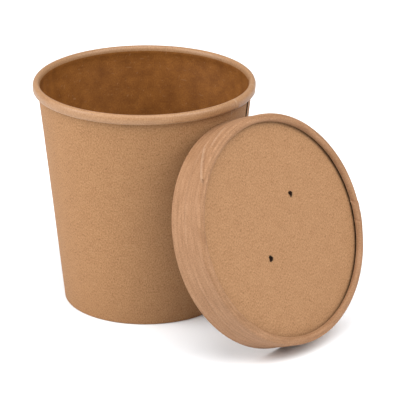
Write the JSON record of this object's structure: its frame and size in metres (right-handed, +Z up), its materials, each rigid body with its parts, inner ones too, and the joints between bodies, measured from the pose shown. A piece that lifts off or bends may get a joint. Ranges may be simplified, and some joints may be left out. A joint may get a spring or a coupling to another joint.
{
  "type": "takeaway soup container",
  "caption": "Empty round paperboard soup cup, tapered, with a rolled rim and a lapped side seam, and its shallow vented board lid leaning on its side.",
  "frame": {"origin": "middle of the bounding box at its bottom, on the surface that the cup's foot and the lid's lower edge stand on", "axes": "+Z up, along the cup's axis towards its mouth; +Y from the leaning lid towards the cup, along the longest extent; +X to the right when looking along +Y"},
  "size_m": [0.1004, 0.1488, 0.1016],
  "materials": {
    "kraft_outer": "matte uncoated brown kraft board with fine fibres and flecks",
    "kraft_bottom": "brown kraft board with a thin film lining, faintly glossy",
    "kraft_band": "matte brown kraft board, creased round by forming",
    "kraft_panel": "matte flat brown kraft board with fine fibres"
  },
  "bodies": {
    "root": {"cup_wall": "kraft_outer", "cup_base": "kraft_bottom", "lid_band": "kraft_band", "lid_panel": "kraft_panel"}
  },
  "joints": []
}
